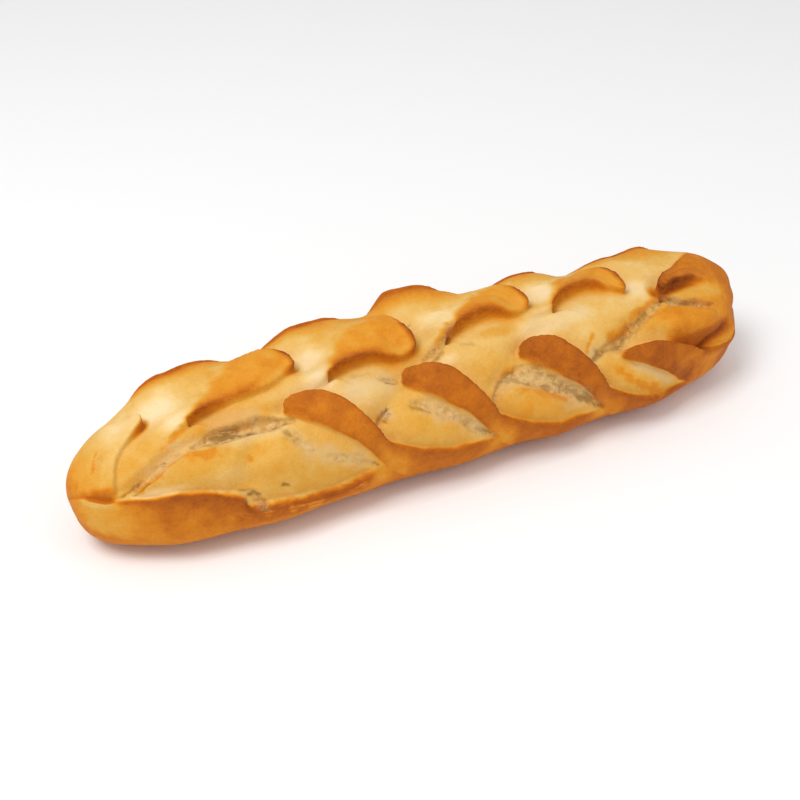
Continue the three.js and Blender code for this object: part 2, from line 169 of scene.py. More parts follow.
# The ends: a cap of crust on each, with the hem and slit of the near one, and the tear, seam
# and bulge beside the far one.
NEAR_CAP = [(-132, -12), (-129, -6), (-127, -1), (-128, 3), (-132, 6), (-138, 12), (-142.5, 20),
            (-145, 31), (-147, 43)]
NEAR_HEM = [(-146, 44), (-150, 45), (-154, 43), (-158, 38)]
NEAR_SLIT = [(-152, 20), (-148, 12), (-146, 7)]
FAR_CAP = [(141, -13), (134, -5), (124, 3), (116, 9.5), (112, 13.5), (112.5, 17), (117, 14.5),
           (126, 13), (133, 13), (139, 15), (143, 20)]
FAR_CAP_TURN = 5             # points before its edge turns back along the front
FAR_TEAR = [(112, 20.5), (118, 23.5), (124, 26.5), (130, 29), (136, 32)]
FAR_SEAM = [(120, 53), (127, 54), (132, 50.5), (139, 48.5), (147, 46)]
FAR_BULGE = [(102, 33), (114, 35), (128, 39), (141, 38)]
ROUND_BUMPS = [                      # places along and round, half sizes, rise
    (-147, -6, 13, 22, 1.0), (146, -10, 14, 18, 4.5), (38, -19, 9, 9, -1.8), (79, -18, 9, 9, -2.5),
    (157, 56, 8, 15, -3.5), (158, -2, 5, 16, 1.5),
]
SIDE_BULGES = [-122, -84, 2, 48, 94]
SIDE_BULGE_AT, SIDE_BULGE_LONG, SIDE_BULGE_WIDE, SIDE_BULGE_RISE = 68, 16, 13, 2.0

# Where the dough tore into ragged crumb: half width, depth, how pitted, and the course.
TEARS = [
    (1.8, 1.0, 0.4, [(-144, 42.5), (-136, 36.5), (-130, 32), (-122, 28), (-113, 26)]),
    (3.8, 2.2, 0.75, [(-113, 25.5), (-100, 25), (-91, 25.5), (-81, 26.5), (-72, 28.5)]),
    (2.6, 0.8, 0.5, [(-77, 31), (-73, 37), (-67, 44)]),
    (2.4, 0.6, 0.25, [(-61, 48), (-50, 53.5), (-41, 59)]),
    (1.8, 2.4, 0.3, [(-36, 43), (-34.5, 39.5), (-31, 36.5)]),
    (1.8, 0.6, 0.5, [(-31, 21), (-26, 23.5), (-21, 26)]),
    (3.0, 1.0, 0.4, [(-20, 36), (-11, 42), (-3, 48), (6, 56), (14, 61.5)]),
    (2.2, 1.4, 0.4, [(-6, 17.5), (3, 13.5), (11, 6)]),
    (4.2, 2.0, 0.5, [(17, 47), (22, 41), (30, 38), (38, 40), (44, 46), (51, 50), (59, 56), (68, 64)]),
    (3.4, 1.8, 0.5, [(67, 42), (75, 38), (85, 36), (91, 32.5), (98, 28), (105, 24), (113, 20)]),
    (3.4, 2.4, 0.6, [(112, 20), (118, 23), (124, 26.5), (130, 29), (137, 32)]),
    (2.4, 0.8, 0.6, [(-99, 53), (-94, 57), (-90, 63)]),
]
TEAR_LEDGES = [                      # small steps along the tears
    [(-143, 44), (-134, 38.5), (-125, 33), (-117, 29.5), (-106, 30), (-90, 30), (-74, 31)],
    [(20, 48), (26, 44.5), (33, 44), (44, 51), (53, 56)],
    [(112, 26), (120, 28), (130, 33), (138, 36)],
]

# ---- colour: where the dough and the crumb differ from what lies round them ----
GOLDEN_VEINS = [                     # half width and course
    (1.6, [(-126, 23), (-121, 20), (-117, 17.5), (-112, 16)]),
    (1.6, [(-140, 43), (-134, 38), (-128, 34.5), (-121, 31.5)]),
    (2.2, [(-119, 29), (-113.5, 31.5), (-108, 32.5), (-98, 32)]),
    (1.5, [(-125, 33), (-122, 31.5), (-120, 30)]),
    (1.0, [(-132, 37), (-130, 36), (-128, 35)]),
    (1.2, [(-97, 22.5), (-91, 23.5), (-86, 23.5)]),
    (1.0, [(-93.5, 37), (-92.5, 41)]),
    (1.6, [(19, 38.5), (24, 36), (27, 35), (32, 34)]),
    (1.8, [(24, 44.5), (31, 45), (35, 47), (40, 49.5), (48, 53), (55, 56)]),
    (0.7, [(64, 38), (67, 33), (71, 28)]),
    (2.6, [(75, 33), (82, 31.5), (88, 30), (92, 28)]),
    (2.4, [(73, 45), (79, 49.5), (87, 57), (96, 63), (104, 67)]),
    (1.6, [(90, 26.5), (98, 23.5), (105, 21), (111, 18.5)]),
    (2.8, [(103, 28), (108, 28.5), (113, 28.5), (119, 32)]),
    (1.4, [(-2, 14.5), (5, 9.5), (10, 5)]),
    (0.6, [(-147, 2), (-150, 11), (-152.5, 21)]),
]
PIT_SHADE_ROWS = [                           # rows of dark holes in the torn crumb, partly darker crumb and partly painted shade in the holes: half width, share and course
    (1.6, 0.9, [(-106, 25), (-100, 24.7), (-95, 26), (-90, 27.3), (-85, 27.2), (-80, 27)]),
    (1.0, 0.85, [(-82, 28.5), (-77, 28.8), (-73, 28.4)]),
    (0.9, 0.6, [(-77, 32), (-74, 35.1), (-72, 38)]),
    (0.8, 0.55, [(-23, 37), (-18, 40.5), (-13, 43.5)]),
    (1.0, 0.7, [(5, 55.5), (9, 58), (13, 60.5)]),
    (1.0, 0.55, [(21, 40), (26, 38.9), (31, 41.5), (35, 44), (41, 46.5), (46, 50)]),
    (1.1, 0.6, [(48, 49), (53, 51.5), (56, 55.5), (60, 58), (66, 60.5)]),
    (1.2, 0.65, [(67, 37), (74, 38.4), (80, 38.3), (85, 37), (89, 33)]),
    (1.0, 0.7, [(96, 27.5), (99, 26.3), (103, 24.5)]),
    (1.0, 0.8, [(110, 21), (116, 23.8), (120, 26.7), (124, 28.4), (130, 31.5)]),
    (1.0, 0.6, [(-34, 42), (-32.2, 40), (-30.5, 38)]),
    (0.9, 0.8, [(-43, 56), (-40, 59)]),
    (0.9, 0.9, [(-83, 53.5), (-81, 54.3), (-79, 55.2)]),
    (1.2, 0.8, [(-97, 57), (-94.5, 54.5), (-92, 57)]),
    (1.4, 0.25, [(-43, 15), (-37.4, 17), (-32, 17)]),
    (0.8, 0.6, [(-29, 24.5), (-25.4, 25.5), (-22, 26.8)]),
    (1.2, 0.6, [(-8, 20), (-1, 18.3), (4, 15)]),
    (1.4, 0.25, [(9, 17), (13, 17.8), (17, 18)]),
    (0.9, 0.5, [(-8, -4), (-5.5, -5.3), (-3, -6)]),
    (1.0, 0.6, [(-141, 43.5), (-137, 41.5), (-133, 36)]),
]
CHALKY = [                           # greyish, floury dough: half width, share and course
    (4.0, 0.5, [(-134, 35), (-126, 28.5), (-118, 24), (-106, 24.5)]),
    (3.0, 0.6, [(-106, 28.5), (-90, 29), (-74, 30)]),
    (4.5, 0.55, [(-74, 33), (-70, 41), (-61, 47), (-50, 53.5), (-41, 59)]),
    (7.0, 0.6, [(-48, 20), (-38, 24), (-30, 25), (-22, 27)]),
    (2.6, 0.8, [(-34, 38.5), (-29, 37.5)]),
    (4.0, 0.6, [(-20, 36), (-12, 42), (-4, 47), (4, 53), (13, 61)]),
    (4.5, 0.6, [(16, 43), (24, 39.5), (33, 40), (42, 45), (50, 50.5), (58, 56), (67, 64)]),
    (3.0, 0.7, [(65, 38), (71, 39.5)]),
    (2.0, 0.7, [(82, 46), (91, 51.5), (99, 57), (109, 65.5)]),
    (6.0, 0.4, [(42, 14), (56, 18), (68, 17), (78, 16)]),
    (3.0, 0.5, [(112, 21), (122, 25), (134, 31)]),
    (6.0, 0.3, [(-66, 22), (-56, 13), (-48, 14)]),
    (4.0, 0.4, [(-108, 19), (-96, 19), (-80, 20)]),
]
DOUGH_SHADE_AND_HIGHLIGHT_PATCHES = [                    # soft patches: place, half sizes, share, and how baked; most are dough, a few are painted shade and one is a painted highlight
    (-119, -5, 9, 11, 0.95, 0.03), (-115, 12, 8, 5, 0.9, 0.03), (-54, -1, 8, 8, 0.9, 0.03),
    (-55, 14, 7, 6, 0.95, 0.0), (-40, 24.5, 10, 5, 0.6, 0.05), (8, -1, 9, 7, 0.75, 0.06),
    (60, -2, 7, 9, 0.9, 0.04), (49, 18, 12, 5, 0.7, 0.05), (68, 17, 8, 4, 0.6, 0.06),
    (1, 22, 5, 3, 0.7, 0.05), (101, 8, 8, 8, 0.85, 0.05), (-88, 31.5, 18, 3, 0.4, 0.1),
    # (-95, 18.5) is painted shade on the dough under the first scale's lip, and the pale (-141, -6) a
    # painted highlight on the near cap
    (-141, -6, 9, 12, 0.55, 0.06), (-29, 14, 8, 4, 0.3, 0.1), (-95, 18.5, 22, 4.5, 0.95, 0.5),
    (-128, 17, 9, 9, 0.6, 0.46), (-124, 28, 12, 4, 0.5, 0.5), (-113, 36, 12, 5, 0.5, 0.5),
    (40, 54, 16, 6, 0.9, 0.54), (100, 30, 14, 7, 0.7, 0.5), (84, 27, 9, 6, 0.55, 0.47),
    # (30, 15) is painted shade on the dough under the third scale's lip
    (30, 15, 9, 3, 0.6, 0.54), (128, 24, 14, 7, 0.7, 0.5), (20, 32, 12, 6, 0.5, 0.45),
    (-18, 18, 8, 4, 0.5, 0.46), (108, -22, 18, 8, 0.7, 0.46), (-155, 14, 7, 16, 0.6, 0.5),
    (-139, 25, 5, 9, 0.7, 0.5), (-150, 60, 8, 8, 0.6, 0.52), (-130, 43.5, 12, 2.6, 0.85, 0.06),
    (-85, 47, 12, 5, 0.4, 0.47), (-100, 44, 8, 5, 0.35, 0.15),
]

# ---- how brown the parts are, from 0, pale dough, to 1, the darkest edge ----
DOUGH = 0.29                 # along the top, where nothing else is laid over it
UNDERSIDE = 0.62
SIDE_CRUST = (0.58, 0.72)    # at the near end, and along the side
SCALE_CRUST = 0.53
STRIP_CRUST = (0.72, 0.54)   # over the strip, and at its foot
STRIP_BROWNER = 0.03         # each strip toward the far end is this much browner than the last
BACK_CRUST, BACK_FACE = 0.66, 0.54
CAP_CRUST = 0.66
VEIN = 0.6
POLES_BAKED = (0.6, 0.68)    # the last point of each end
FLAKES_AT = (2.2, 4.0)       # rows of pale flakes, this far inside the near rim

# ---- floor and light ----
FLOOR_HALF = 6.0             # metres, as are the lights' places and sizes
FLOOR_GAP = 0.0002
FLOOR_TONE = 0.96
SKY_STRENGTH = 0.6
KEY_LIGHT = dict(place=(-0.55, -0.15, 1.1), power=8, size=0.6)
FILL_LIGHT = dict(place=(0.7, -0.7, 0.7), power=2, size=0.8)

# ---- the camera, fitted to the photograph's outline ----
TURN = math.radians(26)      # from the loaf's side toward its near end
LOOK_DOWN = math.radians(36)
DISTANCE = 620.0             # from the point it aims at, which is this high above the middle
AIM_HEIGHT = 26.1
SENSOR_WIDTH = 36.0
FOCAL_PIXELS, FRAME_PIXELS = 1395.0, 800.0
OFF_CENTRE = (25.0, -13.0)   # of the loaf in the frame, in pixels right and down


# ======================================================================================
# Helpers
# ======================================================================================

def smooth(start, end, value):
    t = np.clip((value - start) / (end - start), 0.0, 1.0)
    return t * t * (3.0 - 2.0 * t)


def mix(a, b, share):
    return a + (b - a) * share


def bump(middle, half, value):
    return np.exp(-((value - middle) / half) ** 2)


def ends(start, end):
    """Rises over the first part of a curve and dies away over the last."""
    return lambda t: smooth(0, start, t) * smooth(0, end, 1 - t)


def lattice_noise(place, size, seed):
    """Smooth noise from -1 to 1 with lumps of the given size."""
    q = place / size
    low = np.floor(q).astype(np.int64)
    t = q - low
    t = t * t * (3 - 2 * t)
    total = np.zeros(len(place))
    for corner in range(8):
        step = np.array([corner & 1, corner >> 1 & 1, corner >> 2 & 1])
        i = low + step
        n = (i[:, 0] * HASH_X) ^ (i[:, 1] * HASH_Y) ^ (i[:, 2] * HASH_Z) ^ (seed * HASH_SEED)
        n &= 0xFFFFFFFF
        n = ((n ^ (n >> 13)) * HASH_MIX) & 0xFFFFFFFF
        n = (n ^ (n >> 16)) & 0xFFFF
        weight = np.prod(np.where(step == 1, t, 1 - t), axis=1)
        total += weight * (n / 32767.5 - 1.0)
    return total


def layered_noise(place, size, seed, layers=3):
    total = sum(lattice_noise(place, size / 2 ** i, seed + i) / 2 ** i for i in range(layers))
    return total / sum(1 / 2 ** i for i in range(layers))


# ======================================================================================
# The plain body
# ======================================================================================

def bluntness(u):
    return np.where(u < 0, NEAR_BLUNTNESS, FAR_BLUNTNESS)


def body_point(x, turn):
    """Point on the plain body: turn is the angle round the girth from the top, plus to the front."""
    u = x / (LENGTH / 2)
    outline = np.sqrt(np.clip(1 - np.abs(u) ** bluntness(u), 0, 1))
    taper = outline ** TOP_TAPER
    across, up = np.sin(turn), np.cos(turn)
    bow = BOW_MIDDLE - np.where(u < 0, BOW_NEAR, BOW_FAR) * u ** 2
    y = bow - HALF_WIDTH * outline * np.sign(across) * np.abs(across) ** SIDE_ROUNDNESS
    widest = WIDEST_AT + np.where(u < 0, NEAR_LIFT, FAR_LIFT) * u ** 6
    top = widest + (HEIGHT - widest) * taper * np.abs(up)
    sunk = taper ** LOW_TAPER * np.where(up > 0, 0, np.abs(up) ** BASE_ROUNDNESS)
    drawn_in = np.where(u < 0, NEAR_UNDERCUT, -FAR_UNDERCUT) * sunk ** 1.5 * u ** 8
    return np.stack([x + drawn_in, y, np.where(up > 0, top, widest * (1 - sunk))], -1)


def running_length(points):
    return np.concatenate([[0], np.cumsum(np.linalg.norm(np.diff(points, axis=0), axis=1))])


def measure_girth(steps=2000):
    """Girth of the middle section, measured from the top, and the angle round it."""
    turn = np.linspace(-np.pi, np.pi, steps + 1)
    length = running_length(body_point(np.zeros(steps + 1), turn))
    return length - np.interp(0, turn, length), turn


def column_places():
    """Places along the loaf, evenly spaced along the plan outline so that the ends stay round."""
    u = -np.cos(np.linspace(0, np.pi, 20001))
    outline = np.sqrt(np.clip(1 - np.abs(u) ** bluntness(u), 0, 1))
    plan = np.stack([u * LENGTH / 2, HALF_WIDTH * outline], -1)
    length = running_length(plan)
    return np.interp(np.linspace(0, length[-1], COLUMNS + 2)[1:-1], length, plan[:, 0])


def row_places(girth):
    whole = girth[-1] - girth[0]
    top = np.linspace(-TOP_REACH, TOP_REACH, TOP_ROWS, endpoint=False)
    low = np.linspace(TOP_REACH, whole - TOP_REACH, LOW_ROWS, endpoint=False)
    return np.concatenate([top, np.where(low > girth[-1], low - whole, low)])


# ======================================================================================
# The relief of the cuts
# ======================================================================================

def skin_curve(points, per_run=10):
    """Smooth curve through the points, as short straight runs."""
    p = np.array(points, float)
    p = np.vstack([2 * p[0] - p[1], p, 2 * p[-1] - p[-2]])
    t = (np.arange(per_run) / per_run)[:, None]
    parts = []
    for a, b, c, d in zip(p, p[1:], p[2:], p[3:]):
        parts.append(0.5 * (2 * b + (c - a) * t + (2 * a - 5 * b + 4 * c - d) * t ** 2
                            + (3 * b - a - 3 * c + d) * t ** 3))
    return np.vstack(parts + [p[-2:-1]])


class Skin:
    """The height and the sideways pull of every point of the skin, and where the lips lie."""

    def __init__(self, x, s, place):
        self.place = place
        self.x = x + WANDER * layered_noise(place, *WANDER_ALONG)
        self.s = s + WANDER * layered_noise(place, *WANDER_ROUND)
        self.height = np.zeros(x.shape)
        self.pull_x = np.zeros(x.shape)
        self.pull_s = np.zeros(x.shape)
        self.lips = {}

    def nearest(self, points, reach):
        """The skin's points within reach of a curve: which they are, the share of its length,
        the distance, plus to the side that s grows toward, and the direction of that side."""
        curve = skin_curve(points)
        (low_x, low_s), (high_x, high_s) = curve.min(0) - reach, curve.max(0) + reach
        within_x = (self.x > low_x) & (self.x < high_x)
        within_s = (self.s > low_s) & (self.s < high_s)
        near = np.flatnonzero(within_x & within_s)
        x, s = self.x[near], self.s[near]
        length = running_length(curve)
        along, distance = np.zeros(x.shape), np.full(x.shape, np.inf)
        side, away_x, away_s = np.ones(x.shape), np.zeros(x.shape), np.zeros(x.shape)
        for i in range(len(curve) - 1):
            run = length[i + 1] - length[i]
            ux, us = (curve[i + 1] - curve[i]) / run
            from_x, from_s = x - curve[i, 0], s - curve[i, 1]
            walked = np.clip(from_x * ux + from_s * us, 0, run)
            d = np.hypot(from_x - walked * ux, from_s - walked * us)
            closer = d < distance
            distance = np.where(closer, d, distance)
            along = np.where(closer, (length[i] + walked) / length[-1], along)
            side = np.where(closer, np.where(ux * from_s - us * from_x >= 0, 1.0, -1.0), side)
            away_x, away_s = np.where(closer, -us, away_x), np.where(closer, ux, away_s)
        keep = distance < reach
        return near[keep], along[keep], (distance * side)[keep], away_x[keep], away_s[keep]

    def lip(self, name, points, *, crust_side, rise, foot, back, front, strength, power=1.5, over=1.6):
        """The edge of a cut. Crust rises toward it over 'back' on one side and curls over by
        'over'. The opened dough beside it starts at height 'foot' and evens out over 'front'."""
        near, along, inward, away_x, away_s = self.nearest(points, REACH)
        inward = inward * crust_side
        amount = strength(along)
        inside, outside = np.maximum(inward, 0), np.maximum(-inward, 0)
        crust = rise * np.exp(-(inside / back) ** power)
        dough = foot * np.exp(-(outside / front) ** power)
        step = smooth(-STEP_HALF, STEP_HALF, inward)
        self.height[near] += amount * mix(dough, crust, step)
        curl = mix(-TUCK * np.exp(-(outside / TUCK_REACH) ** 2), np.exp(-(inside / CURL_REACH) ** 2), step)
        pull = -amount * over * crust_side * curl
        self.pull_x[near] += pull * away_x
        self.pull_s[near] += pull * away_s
        self.lips[name] = (near, along, inward, amount)

    def ridge(self, points, rise, width, strength=ends(0.3, 0.3)):
        """A rounded ridge, or a valley where the rise is negative."""
        near, along, distance, _, _ = self.nearest(points, width * RIDGE_REACH)
        self.height[near] += rise * strength(along) * np.exp(-(distance / width) ** 2)

    def bulge(self, at_x, at_s, long, wide, rise):
        self.height += rise * np.exp(-((self.x - at_x) / long) ** 2 - ((self.s - at_s) / wide) ** 2)


def scale_points(row, points):
    """Places on the skin, from shares of the way from a scale's corner to its tip."""
    span = row["tip"] - row["corner"]
    return [(row["corner"] + share * span, s) for share, s in points]


def strip_points(row, points, part):
    """Places on the skin, from places that are measured from a strip's tip."""
    run, drop = row[part]
    return [(row["tip"] + x * run, row["top"] + s * drop) for x, s in points]


def top_scale(skin, name, row):
    front = scale_points(row, row["front"])
    outline = front + scale_points(row, row["back"])
    tip_share = running_length(skin_curve(front))[-1] / running_length(skin_curve(outline))[-1]

    def strength(t):
        f = t / tip_share
        sag = (1 - row["steady"]) * smooth(0.2, 0.45, f) * smooth(0.95, 0.7, f)
        return smooth(0, 0.06, f) * (1 - sag) * (1 - 0.6 * bump(0.84, 0.14, f)) * smooth(1.7, 1.1, f)

    skin.lip(name, outline, crust_side=-1, rise=row["rise"], foot=TOP_TROUGH, back=8, front=8,
             strength=strength, over=1.8)
    skin.ridge(scale_points(row, TOP_SWELL), row["swell"], 10, ends(0.5, 0.3))
    skin.ridge([(row["tip"] + x, s) for x, s in TOP_HOLLOW], -2.5, 5.5)


def front_strip(skin, i, row):
    def strength(t):
        return ends(0.04, row["fade"])(t) * (1 - 0.62 * smooth(0.45, 0.6, t))

    skin.lip(f"strip {i}", strip_points(row, FRONT_LIP, "lip"), crust_side=1, rise=row["rise"],
             foot=FRONT_TROUGH, back=8, front=9, strength=strength)
    skin.ridge(strip_points(row, FRONT_CREST, "lens"), 2.0, 6, ends(0.3, 0.4))
    skin.lip(f"lens {i}", strip_points(row, FRONT_LENS_EDGE, "lens"), crust_side=-1, rise=1.2,
             foot=-1.6, back=4, front=4, strength=ends(0.1, 0.35), over=0.4)
    skin.ridge(strip_points(row, FRONT_DOUGH, "lip"), 2.8, 7, ends(0.4, 0.4))


def back_lobe(skin, name, start, stop, peak, rise):
    """A lobe stands highest at its crest and runs on down the back as a low edge."""
    points = [(start + share * (stop - start), s) for share, s in BACK_CREST]

    def strength(t):
        share = t * BACK_TAIL
        hump = smooth(0, 0.85 * peak, share) * smooth(1.08, peak + 0.1, share)
        return mix(hump, 0.35 * smooth(1, 0.6, t), smooth(0.8, 1.2, share))

    skin.lip(name, points, crust_side=-1, rise=rise, foot=0.8 * rise, back=15, front=12,
             strength=strength, power=2, over=1.4)


def shape_sides(skin):
    skin.lip("near rim", NEAR_RIM, crust_side=1, rise=1.8, foot=-1.8, back=9, front=8,
             strength=ends(0.06, 0.06), over=0.3)
    skin.ridge(NEAR_DOUGH, 3, 10, ends(0.2, 0.3))
    skin.ridge(NEAR_TEAR, -3.2, 3.5, ends(0.2, 0.15))
    for band in SLANTING_BANDS:
        skin.ridge(band, -2.5, 5, ends(0.15, 0.15))
    skin.ridge(BACK_TROUGH, -BACK_TROUGH_DEPTH, BACK_TROUGH_WIDTH, ends(0.08, 0.08))
    for x in SIDE_BULGES:
        for side in (1, -1):
            skin.bulge(x, side * SIDE_BULGE_AT, SIDE_BULGE_LONG, SIDE_BULGE_WIDE, SIDE_BULGE_RISE)


def shape_ends(skin):
    def near_strength(t):
        return ends(0.15, 0.1)(t) * (0.4 + 0.6 * bump(0.22, 0.14, t))

    def far_strength(t):
        return (0.25 + 0.75 * smooth(0.25, 0.48, t)) * ends(0.2, 0.3)(t)

    skin.lip("near cap", NEAR_CAP, crust_side=1, rise=3.6, foot=-2.4, back=8, front=6,
             strength=near_strength, over=1.4)
    skin.lip("near hem", NEAR_HEM, crust_side=-1, rise=1.6, foot=-0.6, back=4, front=5,
             strength=ends(0.2, 0.3), over=0.4)
    skin.ridge(NEAR_SLIT, -1.6, 1.6)
    skin.lip("far cap", FAR_CAP, crust_side=-1, rise=4.5, foot=-2.5, back=14, front=8,
             strength=far_strength)
    skin.ridge(FAR_TEAR, -2.5, 3.5)
    skin.ridge(FAR_SEAM, -2.2, 3.0)
    skin.ridge(FAR_BULGE, 3.0, 7)
    for lump in ROUND_BUMPS:
        skin.bulge(*lump)


def tear(skin):
    """Ragged strips where the dough tore: sinks them, and returns how pitted each point is."""
    torn, pitted = np.zeros(skin.x.shape), np.zeros(skin.x.shape)
    ragged = layered_noise(skin.place, *TORN_EDGE)
    for half, depth, share, points in TEARS:
        near, along, distance, _, _ = skin.nearest(points, half * TEAR_REACH)
        reach = half * (1 + 0.7 * ragged[near]) * (0.35 + 0.65 * ends(0.25, 0.25)(along))
        away = np.abs(distance) / np.maximum(reach, 0.1)
        here = smooth(1.15, 0.55, away)
        skin.height[near] -= here * depth
        torn[near] = np.maximum(torn[near], here)
        pitted[near] = np.maximum(pitted[near], smooth(1.4, 0.3, away) * share)
    skin.height += torn * 0.8 * layered_noise(skin.place, *TORN_FACE)
    return pitted


def shape_relief(skin):
    for i, row in enumerate(TOP_ROW):
        top_scale(skin, f"scale {i}", row)
    for i, row in enumerate(FRONT_ROW):
        front_strip(skin, i, row)
    for i, row in enumerate(BACK_ROW):
        back_lobe(skin, f"lobe {i}", **row)
    shape_sides(skin)
    shape_ends(skin)
    for i, ledge in enumerate(TEAR_LEDGES):
        skin.lip(f"ledge {i}", ledge, crust_side=1, rise=1.4, foot=-0.8, back=3, front=3,
                 strength=ends(0.15, 0.15), over=0.7)
    skin.pitted = tear(skin)
    skin.height += UNEVEN * layered_noise(skin.place, *LUMPS)
    fade = smooth(*RELIEF_FADES, np.abs(skin.s))
    for field in (skin.height, skin.pull_x, skin.pull_s):
        field *= fade


# ======================================================================================
# Baking: how brown each point is, from 0, pale dough, to 1, the darkest edge. Painted shade and
# painted highlights are laid on the same scale.
# ======================================================================================

def profile(points, at):
    """Height of a curve that runs one way, at each place."""
    along, across = np.array(sorted(points)).T
    return np.interp(at, along, across)


class Baking:
    """The level of every point. Each part of the loaf is laid over what is there already."""

    def __init__(self, skin):
        self.x, self.s, self.lips, self.nearest = skin.x, skin.s, skin.lips, skin.nearest
        self.depth = np.abs(skin.s)
        self.broad = layered_noise(skin.place, *BROAD)
        self.fine = layered_noise(skin.place, *FINE)
        self.patchy = layered_noise(skin.place, *PATCHY)
        self.grit = layered_noise(skin.place, *GRIT)
        self.level = DOUGH + 0.11 * smooth(10, 48, self.depth) + 0.05 * self.broad + 0.04 * self.patchy

    def lay(self, share, target, near=slice(None)):
        self.level[near] = mix(self.level[near], target, share)

    def strip_place(self, row, part):
        """Where each point lies, measured from a strip's tip."""
        run, drop = row[part]
        return (self.x - row["tip"]) / run, (self.s - row["top"]) / drop


def bake_dough(b):
    # dough patches, among them painted shade under the scales' lips and a painted highlight on the near cap
    for at_x, at_s, long, wide, share, target in DOUGH_SHADE_AND_HIGHLIGHT_PATCHES:
        away = np.hypot((b.x - at_x) / long, (b.s - at_s) / wide) + 0.35 * b.patchy
        b.lay(share * smooth(1.5, 0.3, away), target + 0.04 * b.broad)


def bake_side(b):
    """The side crust, with a dark band below the near rim that is partly browner crust and partly painted
    shade, and the golden dough above its rims.
    """
    below_rim = b.s - profile(NEAR_RIM, b.x)
    side = smooth(-0.5, 0.7, below_rim) * smooth(-152, -142, b.x) * smooth(-36, -50, b.x)
    brown = mix(*SIDE_CRUST, smooth(-146, -126, b.x))
    b.lay(side, brown - 0.08 * smooth(4, 26, below_rim) + 0.05 * b.fine)
    # dark band below the near rim: partly browner crust, partly painted shade under the dough that bulges
    # over it
    b.lay(side * smooth(9, 1, below_rim + 2 * b.fine) * smooth(-142, -130, b.x) * 0.8, 0.82)
    b.lay(smooth(66, 72, b.depth + 2 * b.fine), UNDERSIDE)
    for row in FRONT_ROW:
        u, v = b.strip_place(row, "lens")
        dough = smooth(-1.5, 0.5, u) * smooth(46, 36, u) * smooth(12, 20, v) * smooth(44, 38, v)
        b.lay(dough * smooth(-1, 5, v - profile(FRONT_LENS_EDGE, u)) * 0.6, 0.42)


def bake_strip(b, i, row):
    """A strip of the front row, the side crust below it, and the lines along its edges. The dark band and
    line at its rim are partly browner crust and partly painted shade; the light line along its lens's edge
    is a painted highlight.
    """
    u, v = b.strip_place(row, "lens")
    above_edge = v - profile(FRONT_LENS_EDGE + [FRONT_LENS_FOOT], u)
    u, v = b.strip_place(row, "lip")
    above_lip = v - profile(FRONT_LIP, u)
    below = smooth(32, 44, u) * smooth(92, 80, u)
    b.lay(below * smooth(-0.5, 1, above_lip), 0.69 + 0.02 * i)
    strip = smooth(-1.5, 0.5, u) * smooth(-0.6, 0.6, above_lip)
    strip = strip * smooth(0.8, -0.8, above_edge + 0.8 * b.fine) * smooth(50, 44, u)
    brown = mix(*STRIP_CRUST, smooth(29, 40, u)) + STRIP_BROWNER * i
    b.lay(strip, brown + 0.05 * b.patchy + 0.04 * b.fine)
    # the dark band below the rim: partly browner crust, partly painted shade under the dough that bulges
    # over it
    rim = smooth(26, 36, u) * smooth(92, 80, u)
    rim = rim * smooth(-0.6, 0.4, above_lip) * smooth(9, 1, above_lip + 2 * b.fine)
    b.lay(rim * 0.8, 0.77 + 0.02 * i)

    near, t, d, amount = b.lips[f"strip {i}"]
    # a dark line along the upper edge and the rim: partly browner crust edge, partly painted shade
    b.lay(amount * bump(0.6, 1.4, d) * 0.4 * smooth(0.2, 0.32, t), 0.9, near)
    b.lay(amount * smooth(0.5, -0.5, d) * smooth(-9, -1, d) * smooth(0.45, 0.35, t) * 0.5, 0.3, near)
    near, t, d, amount = b.lips[f"lens {i}"]
    # painted highlight: a light line along the lens's lower edge near the tip
    b.lay(amount * bump(0.2, 0.8, d) * smooth(0.6, 0.3, t) * 0.4, 0.45, near)


def bake_near_rim(b):
    """The dark line along the edge of the near side's crust, partly browner crust and partly painted shade,
    and the pale flakes along it.
    """
    near, t, d, amount = b.lips["near rim"]
    fine = b.fine[near]
    # the dark line: partly browner crust edge, partly painted shade under the dough above it
    b.lay(amount * bump(0.8, 1.3, d) * 0.6, 0.86, near)
    b.lay(amount * bump(-0.9, 0.7, d) * smooth(-0.1, 0.35, fine) * 0.6, 0.08, near)
    for off in FLAKES_AT:
        flake = amount * bump(off, 0.55, d) * smooth(0.45, 0.6, t) * smooth(-0.15, 0.2, fine)
        b.lay(flake * 0.55, 0.3, near)


def bake_lobe(b, row):
    """A lobe of the back row: crust behind its crest, and an open face before it."""
    f = (b.x - row["start"]) / (row["stop"] - row["start"])
    beyond = -profile(BACK_CREST, f) - b.depth           # plus on the open face, minus on the crust
    here = smooth(-0.04, 0.2, f + 0.12 * b.fine) * smooth(BACK_TAIL, 1.5, f) * smooth(4, -4, b.s)
    before_stop = smooth(1.15, 0.9, f)
    b.lay(here * smooth(0.8, -0.8, beyond) * smooth(-30, -14, beyond), BACK_CRUST + 0.05 * b.fine)
    face = here * before_stop * smooth(-1, 0, beyond)
    reach = mix(12, 30, smooth(0.3, 0.7, f)) + 6 * b.fine + 4 * b.patchy
    b.lay(face * smooth(reach, 0, beyond), BACK_FACE)
    reach = mix(4, 16, (row["rise"] - 6) / 8)
    b.lay(face * smooth(reach, 0, beyond + 3 * b.fine) * 0.8, 0.69)
    b.lay(here * before_stop * bump(-0.3, 1.1, beyond) * 0.6, 0.82)


